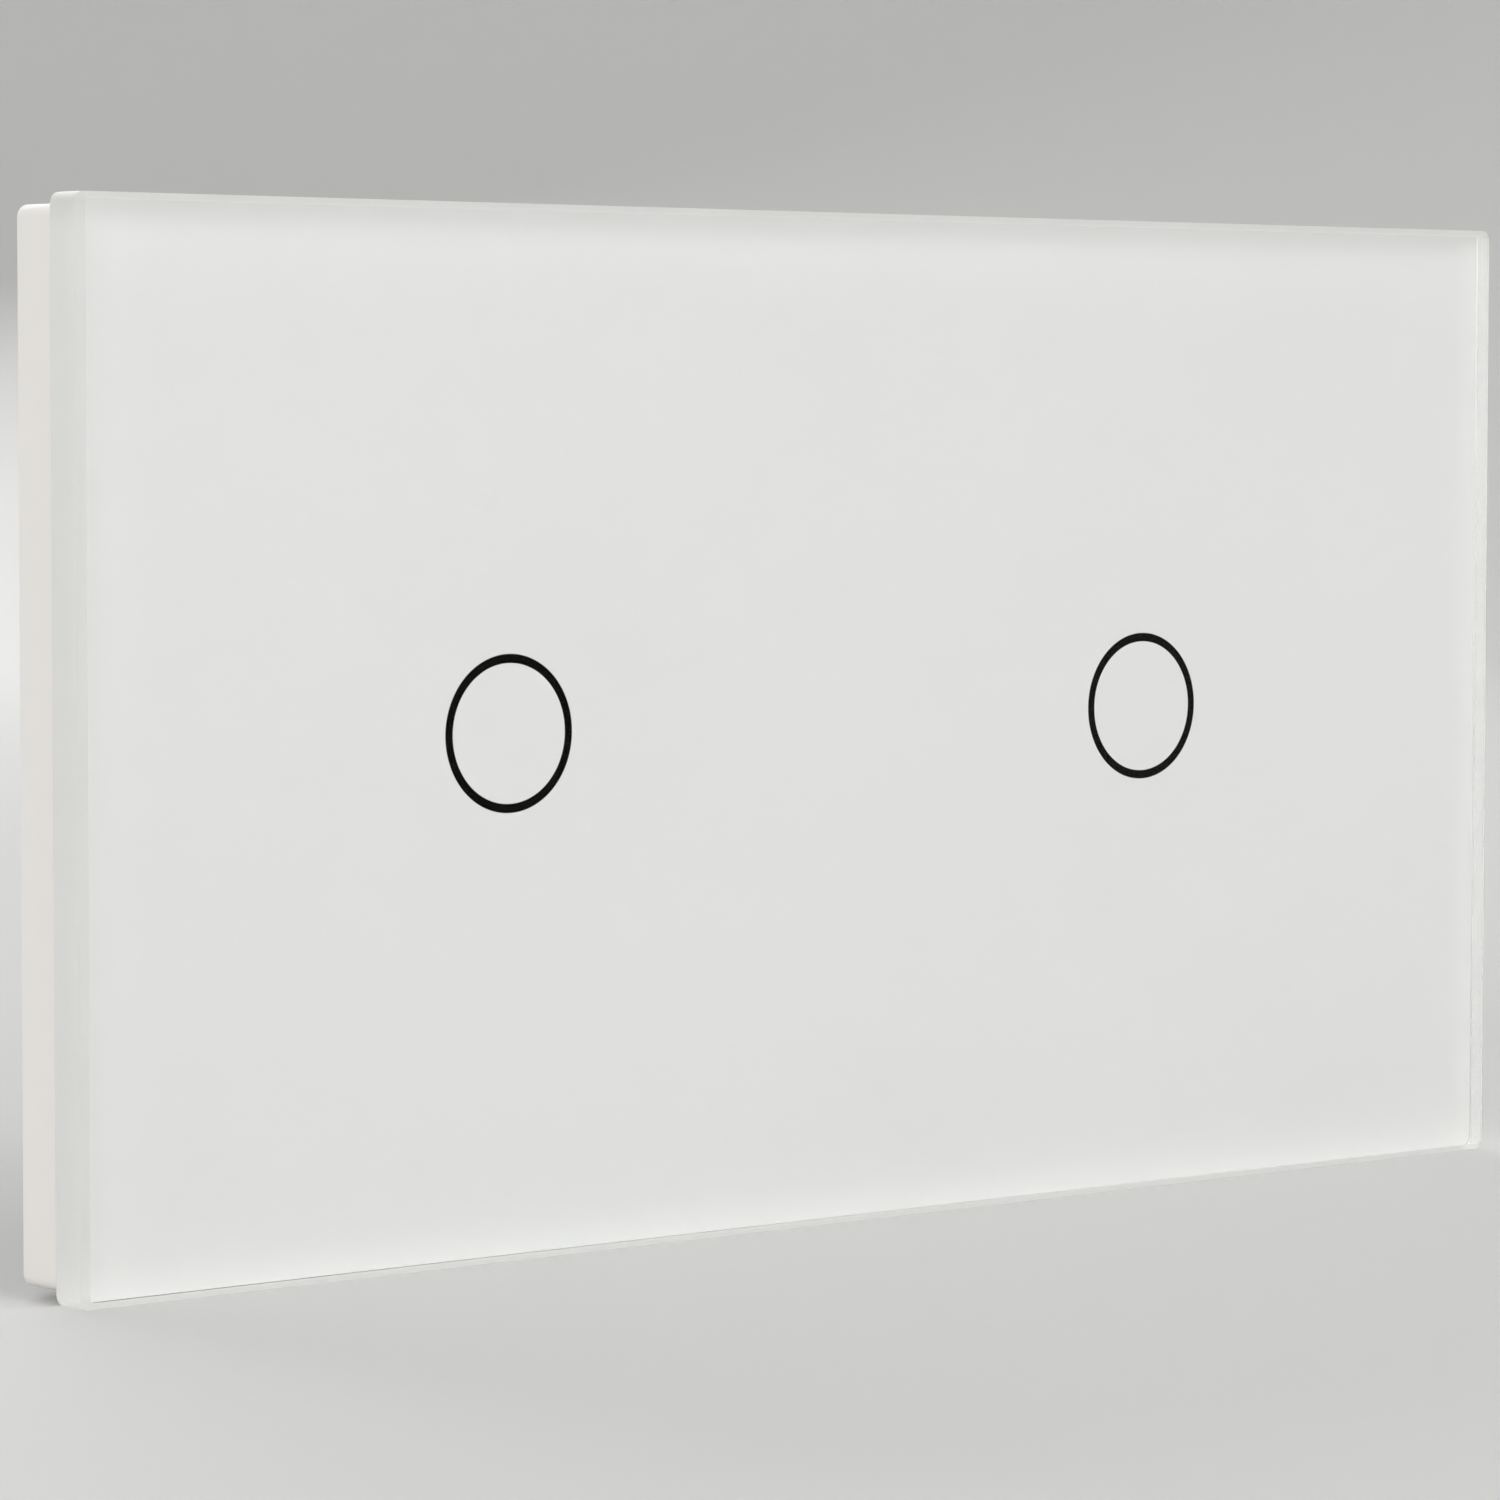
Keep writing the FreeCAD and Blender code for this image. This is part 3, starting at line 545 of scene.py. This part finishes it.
# plated: a faintly yellow grey, darker than the zinc
nickel_iron = metal("nickel plated soft iron", "#b9b6ae", "#c8c5bd", 0.25, 0.4)
# rolled thin: a reddish spring metal
contact_bronze = metal("contact bronze", "#cf9a6b", "#d9a87c", 0.25, 0.38)
# drawn and varnished: a deep orange with sharp glints on each turn
copper_wire = metal("enamelled copper wire", "#b4592a", "#c56a35", 0.25, 0.35)
# drawn to a cup: a light, even silver
aluminium = metal("deep drawn aluminium", "#cdd0d2", "#dcdee0", 0.25, 0.35)
print("sheet", zinc_sheet.name)

# %% [markdown]
# ## Plastics
#
# The shells of the modules are white flame-proof polycarbonate, the terminal block is grey
# polyamide, and the relay sits in a glossy blue case. Nearly all are moulded, and the two
# ceramics are pressed and fired, so one function gives them a drifting tone, an uneven sheen
# and the grain of their mould, each in its own measure.

# %% Plastic finishes
def moulded(name, hex_a, hex_b, low, high, grain, depth):
    """A moulded finish whose tone and sheen wander, with the grain of its mould."""
    material, shader = finish(name, hex_a, low)
    drifting(material, shader, hex_a, hex_b, 12 * mm)
    uneven_sheen(material, shader, low, high, 2 * mm)
    grained(material, shader, grain, depth)
    return material


# a polished mould: satin, with a soft gleam
white_shell = moulded("white moulded polycarbonate", "#e6e7e6", "#eaebe9", 0.35, 0.45, 0.3 * mm, 0.003 * mm)
# a spark-eroded mould: matt and finely pitted
white_housing = moulded("spark eroded polycarbonate", "#dfe0dd", "#e5e6e3", 0.5, 0.65, 0.45 * mm, 0.012 * mm)
# a dull grey that soaks up the light
grey_polyamide = moulded("grey polyamide", "#8f9294", "#979a9c", 0.45, 0.6, 0.4 * mm, 0.008 * mm)
# a deep, glossy blue
relay_blue = moulded("blue relay polyester", "#1f4f9c", "#2458a8", 0.2, 0.3, 0.5 * mm, 0.002 * mm)
# near black, with a weak sheen
black_phenolic = moulded("black phenolic", "#1b1b1c", "#232324", 0.4, 0.55, 0.4 * mm, 0.005 * mm)
# near black and gritty, with hardly any sheen
chip_compound = moulded("chip moulding compound", "#1d1d1e", "#262627", 0.5, 0.65, 0.25 * mm, 0.006 * mm)
# undyed: an ivory white
bobbin_nylon = moulded("natural nylon", "#e3dfd2", "#eae6da", 0.4, 0.5, 0.4 * mm, 0.003 * mm)
# a warm yellow with a clear gleam
yellow_polyester = moulded("yellow polyester box", "#d9a521", "#e0ae2c", 0.3, 0.4, 0.5 * mm, 0.003 * mm)
# shrunk tight: a glossy, bluish black
sleeve = moulded("capacitor shrink sleeve", "#15161c", "#1c1d24", 0.2, 0.3, 0.6 * mm, 0.003 * mm)
# the same film, printed pale grey
sleeve_stripe = moulded("printed sleeve stripe", "#a9adb4", "#b3b7bd", 0.2, 0.3, 0.6 * mm, 0.003 * mm)
# pressed and fired: a dark, stony grey
ferrite = moulded("sintered ferrite", "#2b2b2e", "#353538", 0.45, 0.6, 0.2 * mm, 0.01 * mm)
# pressed and fired: cream, with a silky gleam
steatite = moulded("steatite ceramic", "#e2d8bd", "#e8dfc7", 0.3, 0.45, 0.2 * mm, 0.003 * mm)
print(len(bpy.data.materials), "finishes so far")

# %% [markdown]
# ## Circuit board
#
# The boards are glass-fibre laminate under a green solder mask. Copper tracks under the mask
# show as slightly lighter lines. Bands along X and bands along Z are cut off at a threshold,
# which leaves tracks about as wide as those of a mains board, and large cells choose between
# the two, so that the tracks run in patches as on a routed board.

# %% Circuit board finish
patch_size, track_pitch, copper_thickness = 7 * mm, 3.75 * mm, 0.03 * mm
band_cut, patch_cut = 0.6, 0.5  # a band above its cut is copper, a patch above its cut runs the other way
wave_radians = 20  # the Wave node runs through this many radians for each unit of its coordinate
band_scale = math.tau / wave_radians / track_pitch
board_green, shader = finish("green solder mask", "#1f6b3f", 0.3)
place = add(board_green, "ShaderNodeTexCoord")
cells = add(board_green, "ShaderNodeTexVoronoi", {"Scale": 1 / patch_size}, {"Vector": place.outputs["Object"]})
chosen = add(board_green, "ShaderNodeSeparateColor", links={"Color": cells.outputs["Color"]})
tracks = {}
for direction in ("X", "Z"):
    bands = add(board_green, "ShaderNodeTexWave", {"Scale": band_scale, "Distortion": 0.0},
                {"Vector": place.outputs["Object"]}, bands_direction=direction)
    tracks[direction] = add(board_green, "ShaderNodeMath", {1: band_cut}, {0: bands.outputs["Fac"]},
                            operation="GREATER_THAN")
pick = add(board_green, "ShaderNodeMath", {1: patch_cut}, {0: chosen.outputs["Red"]}, operation="GREATER_THAN")
track = add(board_green, "ShaderNodeMix", links={"Factor": pick.outputs["Value"],
                                                 "A": tracks["X"].outputs["Value"],
                                                 "B": tracks["Z"].outputs["Value"]})
masked = add(board_green, "ShaderNodeMix", {6: linear("#1c6239"), 7: linear("#2b8450")},
             {"Factor": track.outputs["Result"]}, data_type="RGBA")
join(board_green, masked.outputs[2], shader.inputs["Base Color"])
step_up = add(board_green, "ShaderNodeBump", {"Distance": copper_thickness}, {"Height": track.outputs["Result"]})
join(board_green, step_up.outputs["Normal"], shader.inputs["Normal"])
print("tracks", round(track_pitch / mm, 2), "mm apart")

# %% [markdown]
# ## Shells, yokes and terminals
#
# These nodes have their final form in the CAD, down to the catches, slots, vents and screw
# slots. Each is a softened copy with the radius that its process leaves: about 0.15 mm on
# punched steel and mouldings, less on small strips. The clamps, their screws and the relay's
# armature ride on bodies of their own, because they move.

# %% Softened nodes
plain_nodes = {  # slot, finish, radius in millimetres
    "yoke": ("zinc_plate", zinc_sheet, 0.12), "touch_cover": ("white_plastic", white_shell, 0.12),
    "rear_housing": ("white_housing", white_housing, 0.15), "relay_case": ("relay_blue", relay_blue, 0.15),
    "relay_base": ("black_plastic", black_phenolic, 0.1), "relay_magnet": ("soft_iron", nickel_iron, 0.08),
    "relay_contact": ("silver_contact", contact_bronze, 0.06),
    "terminal_block": ("grey_plastic", grey_polyamide, 0.15), "terminal_bars": ("brass", brass, 0.08),
}
sides = {"left": -ring_middle, "right": ring_middle}
for side in sides:
    for name, (slot, material, radius) in plain_nodes.items():
        softened(side + "_" + name, "modules", slot, [material], radius * mm)
    softened(side + "_relay_armature", side + "_relay_armature", "soft_iron", [nickel_iron], 0.06 * mm)
    for terminal in ("line", "load"):
        node = side + "_" + terminal + "_clamp"
        softened(node, node, "zinc_plate", [zinc_sheet], 0.08 * mm)
        node = side + "_" + terminal + "_screw"
        softened(node, node, "zinc_steel", [zinc_screw], 0.08 * mm)
    for board in ("touch", "power"):
        dress(side + "_" + board + "_board", board_green)
softened("housing_screws", "modules", "zinc_steel", [zinc_screw], 0.08 * mm)

# %% [markdown]
# ## Light guide, sensor pad and lamps
#
# Behind each ring sits a clear cup. Four small lamps shine into its wall, and the wall
# carries the light to the ring. The sensor pad in its middle feels the finger. The cup and
# the pad are turned shapes, each from one outline. The cup's radius is measured on the CAD
# node, and the rest follows from it.

# %% Light guide and pad
# moulded clear: nearly as clear as glass, with a breath of haze
clear_polycarbonate = clear_solid("clear polycarbonate", "#f7f9fb", "#f7f9fb", 0.06, 1.585)
low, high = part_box("left_light_guide")
cup_wall, pad_play, trim = 1.1, 0.8, 0.075
outer = (high.x - low.x) / 2 / mm
inner, pad = outer - cup_wall, outer - cup_wall - pad_play
guide_outline = [(0, -5.2), (inner - trim, -5.2), (inner, -5.28), (inner, -5.62), (inner + trim, -5.7),
                 (outer - trim, -5.7), (outer, -5.62), (outer, -4.18), (outer - trim, -4.1), (inner + trim, -4.1),
                 (inner, -4.18), (inner, -4.52), (inner - trim, -4.6), (0, -4.6)]
pad_outline = [(0, -4.5), (pad - trim, -4.5), (pad, -4.43), (pad, -4.17), (pad - trim, -4.1), (1.15, -4.1),
               (1.0, -3.95), (1.0, -3.4), (0, -3.4)]
print("light guide", round(2 * outer, 2), "mm across")
for side, middle in sides.items():
    shape = bmesh.new()
    turned(shape, guide_outline, (middle, 0, 0), 96)
    piece(side + "_light_cup", shape, "modules", "clear_plastic", [clear_polycarbonate], side + "_light_guide")
    shape = bmesh.new()
    turned(shape, pad_outline, (middle, 0, 0), 64)
    piece(side + "_sensor_pad", shape, "modules", "tinned_copper", [tinned], side + "_touch_plate")

# %% [markdown]
# What isn't round is mostly a block with rounded edges: lamps, chip bodies, legs, pins and
# boxes. One function makes them, a cube brought to its two corners and bevelled.
#
# A lamp is a white body with a domed yellow phosphor window. The lamp is only 1.6 mm long,
# but it shows through the clear cup when the cover is off. Four of them stand under the
# middle of the cup's wall, a quarter turn apart.

# %% Lamps
def brick(shape, low, high, edge, material=0, turn=None):
    """A block between two corners in millimetres, with its edges rounded, turned about an axis if asked."""
    low, high = Vector(low) * mm, Vector(high) * mm
    before = set(shape.faces)
    made = bmesh.ops.create_cube(shape, size=1.0)["verts"]
    bmesh.ops.scale(shape, vec=high - low, verts=made)
    bmesh.ops.translate(shape, vec=(low + high) / 2, verts=made)
    if turn:
        centre, angle = turn
        bmesh.ops.rotate(shape, cent=centre, matrix=Matrix.Rotation(angle, 3, "Y"), verts=made)
    rims = list({e for v in made for e in v.link_edges})
    bmesh.ops.bevel(shape, geom=rims, offset=edge * mm, segments=2, profile=0.5, affect="EDGES", material=-1)
    for face in set(shape.faces) - before:
        face.material_index = material


# cast over the chip: pale yellow under a clear, wet-looking coat
phosphor, shader = finish("lamp phosphor", "#f2dc7a", 0.25, Coat_Weight=0.6)
drifting(phosphor, shader, "#efd66c", "#f6e48e", 0.5 * mm)
lamp_count, reach = 4, (outer + inner) / 2
for side, middle in sides.items():
    x = middle / mm
    shape = bmesh.new()
    for i in range(lamp_count):
        turn = (Vector((middle, 0, 0)), math.tau * i / lamp_count)
        brick(shape, (x - 0.8, -3.85, reach - 0.4), (x + 0.8, -3.4, reach + 0.4), 0.05, 0, turn)
        brick(shape, (x - 0.5, -4.0, reach - 0.28), (x + 0.5, -3.8, reach + 0.28), 0.08, 1, turn)
    piece(side + "_lamps", shape, "modules", "lamp_epoxy", [bobbin_nylon, phosphor], side + "_indicator_leds")
print(lamp_count, "lamps at", round(reach, 2), "mm")

# %% [markdown]
# ## Small parts on the sensor board
#
# The touch controller has a moulded body and four legs on each long side, which step down to
# the board. The header carries five square pins through both boards.

# %% Touch controller and header
leg_pitch, pin_pitch = 1.1, 2.3
for side, middle in sides.items():
    x = middle / mm
    shape = bmesh.new()
    brick(shape, (x - 8.4, -2.25, -9.5), (x - 3.6, -1.2, -6.5), 0.12)
    for i in range(4):
        leg = x - 6 + (i - 1.5) * leg_pitch
        for shoulder, foot in ((-9.4, -9.94), (-6.6, -6.06)):
            near, far = sorted((shoulder, foot))
            brick(shape, (leg - 0.17, -1.9, near), (leg + 0.17, -1.8, far), 0.02, 1)
            brick(shape, (leg - 0.18, -2.4, foot - 0.06), (leg + 0.18, -1.78, foot + 0.06), 0.02, 1)
    piece(side + "_controller", shape, "modules", "black_epoxy", [chip_compound, tinned], side + "_touch_chip")
    shape = bmesh.new()
    brick(shape, (x - 6, -2.4, 8.75), (x + 6, -0.3, 11.25), 0.12)
    brick(shape, (x - 6, -0.25, 8.75), (x + 6, 2.0, 11.25), 0.12)
    for i in range(5):
        pin = x + (i - 2) * pin_pitch
        brick(shape, (pin - 0.3, -3.75, 9.7), (pin + 0.3, 4.3, 10.3), 0.08, 1)
    piece(side + "_header", shape, "modules", "black_plastic", [black_phenolic, tinned], side + "_board_connector")
print("leg pitch", leg_pitch, "mm, pin pitch", pin_pitch, "mm")

# %% [markdown]
# ## Parts on the power board
#
# Each part is made where its CAD node is, on the middle of that node's box and from its
# board end outwards. The coils are wound with round wire, so their outline is a row of small
# arcs, one for each turn, and one function writes that outline for both kinds.

# %% Windings
wire_swell = 0.3  # how far a turn stands out, as a share of the wire


def wound(outer, wire, start, end):
    """The outline of a layer of wire, from one end to the other."""
    turns = max(1, round((end - start) / wire))
    step = (end - start) / turns
    points = []
    for i in range(turns):
        for part in (0.0, 0.25, 0.5, 0.75):
            points.append((outer - wire * wire_swell * (1 - math.sin(math.pi * part)), start + (i + part) * step))
    return points + [(outer - wire * wire_swell, end)]


def board_end(node):
    """The middle of a CAD node's face that is nearest to the board."""
    low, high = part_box(node)
    return (low.x + high.x) / 2, low.y, (low.z + high.z) / 2


print("a turn stands out by", wire_swell, "of its wire")

# %% [markdown]
# The relay coil is fine copper wire on a nylon bobbin, and only its flanges and its outer
# layer show. The winding's ends lie a little inside the flanges, so that no two circles
# meet and the mesh stays one closed skin for each part.

# %% Relay coil
coil_layer = wound(3.15, 0.28, 0.5, 6.1)
winding = [(1.8, 0.45), (3.05, 0.45)] + coil_layer + [(3.05, 6.15), (1.8, 6.15)]
for side in sides:
    shape = bmesh.new()
    middle = board_end(side + "_relay_coil")
    for flange in (0.0, 6.1):
        turned(shape, [(1.75, flange), (3.3, flange), (3.4, flange + 0.1), (3.4, flange + 0.4),
                       (3.3, flange + 0.5), (1.75, flange + 0.5)], middle, 48, 1)
    turned(shape, winding, middle, 48, 0)
    piece(side + "_coil", shape, "modules", "copper_wire", [copper_wire, bobbin_nylon], side + "_relay_coil")
print("coil layer of", len(coil_layer) // 4, "turns")

# %% [markdown]
# The capacitor is an aluminium can in a printed black sleeve. Its rolled-in groove holds the
# seal, and its bare top lies a little lower than the rim. The faces of the finished
# shape are sorted by where they lie: the top is bare, and one stripe marks the negative side.

# %% Capacitor can
can_outline = [(0, 0), (3.5, 0), (3.8, 0.15), (4.0, 0.5), (4.0, 1.2), (3.8, 1.45), (3.75, 1.7), (3.8, 1.95),
               (4.0, 2.2), (4.0, 12.5), (3.9, 12.85), (3.65, 13.0), (3.2, 12.95), (3.1, 12.85), (0, 12.85)]
bare_height, bare_radius, stripe_half, stripe_side, groove_end = 12.8, 3.12, 0.9, 3, 2.2
for side in sides:
    shape = bmesh.new()
    middle = board_end(side + "_storage_capacitor")
    turned(shape, can_outline, middle, 64, 0)
    for face in shape.faces:
        centre = (face.calc_center_median() - Vector(middle)) / mm
        if centre.y > bare_height and math.hypot(centre.x, centre.z) < bare_radius:
            face.material_index = 1
        elif abs(centre.z) < stripe_half and centre.x > stripe_side and centre.y > groove_end:
            face.material_index = 2
    piece(side + "_smoothing_can", shape, "modules", "black_sleeve", [sleeve, aluminium, sleeve_stripe],
          side + "_storage_capacitor")
print("can", can_outline[-1][1], "mm long")

# %% [markdown]
# The choke is a reel of ferrite with thicker wire, wound straight on the core.

# %% Choke
choke_layer = wound(3.05, 0.4, 0.8, 7.2)
for side in sides:
    shape = bmesh.new()
    middle = board_end(side + "_choke")
    for flange in (0.0, 7.2):
        turned(shape, [(0, flange), (3.4, flange), (3.5, flange + 0.1), (3.5, flange + 0.7), (3.4, flange + 0.8),
                       (0, flange + 0.8)], middle, 48, 0)
    turned(shape, [(0, 0.7)] + choke_layer + [(0, 7.3)], middle, 48, 1)
    piece(side + "_choke_reel", shape, "modules", "ferrite", [ferrite, copper_wire], side + "_choke")
print("choke layer of", len(choke_layer) // 4, "turns")

# %% [markdown]
# The film capacitor is potted in a yellow box that stands 0.3 mm off the board on its two
# leads, ten millimetres apart.

# %% Box capacitor
box_stand, box_edge, lead_reach = 0.3, 0.35, 5
for side in sides:
    low, high = (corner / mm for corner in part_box(side + "_film_capacitor"))
    shape = bmesh.new()
    brick(shape, low + Vector((0, box_stand, 0)), high, box_edge)
    for lead in (-lead_reach, lead_reach):
        x, z = (low.x + high.x) / 2 + lead, (low.z + high.z) / 2
        brick(shape, (x - 0.3, low.y - 2.2, z - 0.3), (x + 0.3, low.y + 0.5, z + 0.3), 0.1, 1)
    piece(side + "_box_capacitor", shape, "modules", "yellow_box", [yellow_polyester, tinned],
          side + "_film_capacitor")
print("leads", 2 * lead_reach, "mm apart")

# %% [markdown]
# The fuse lies along the board: a ceramic tube between two tinned caps, each with a flat
# foot that goes through the board.

# %% Cartridge fuse
cap_radius, cap_starts = 1.65, (0.0, 8.6)
along, outward = (1, 0, 0), (0, 1, 0)
for side in sides:
    low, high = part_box(side + "_fuse")
    shape = bmesh.new()
    depth, height = high.y - cap_radius * mm, (low.z + high.z) / 2
    lying = (low.x, depth, height), 40
    turned(shape, [(0, 1.0), (1.4, 1.0), (1.4, 10.0), (0, 10.0)], *lying, 0, along, outward)
    for start in cap_starts:
        turned(shape, [(0, start), (1.5, start), (cap_radius, start + 0.15), (cap_radius, start + 2.25),
                       (1.5, start + 2.4), (0, start + 2.4)], *lying, 1, along, outward)
        foot = low.x / mm + start + 0.6
        brick(shape, (foot, low.y / mm - 2.1, height / mm - 0.6),
              (foot + 1.2, depth / mm, height / mm + 0.6), 0.08, 1)
    piece(side + "_cartridge_fuse", shape, "modules", "ceramic", [steatite, tinned], side + "_fuse")
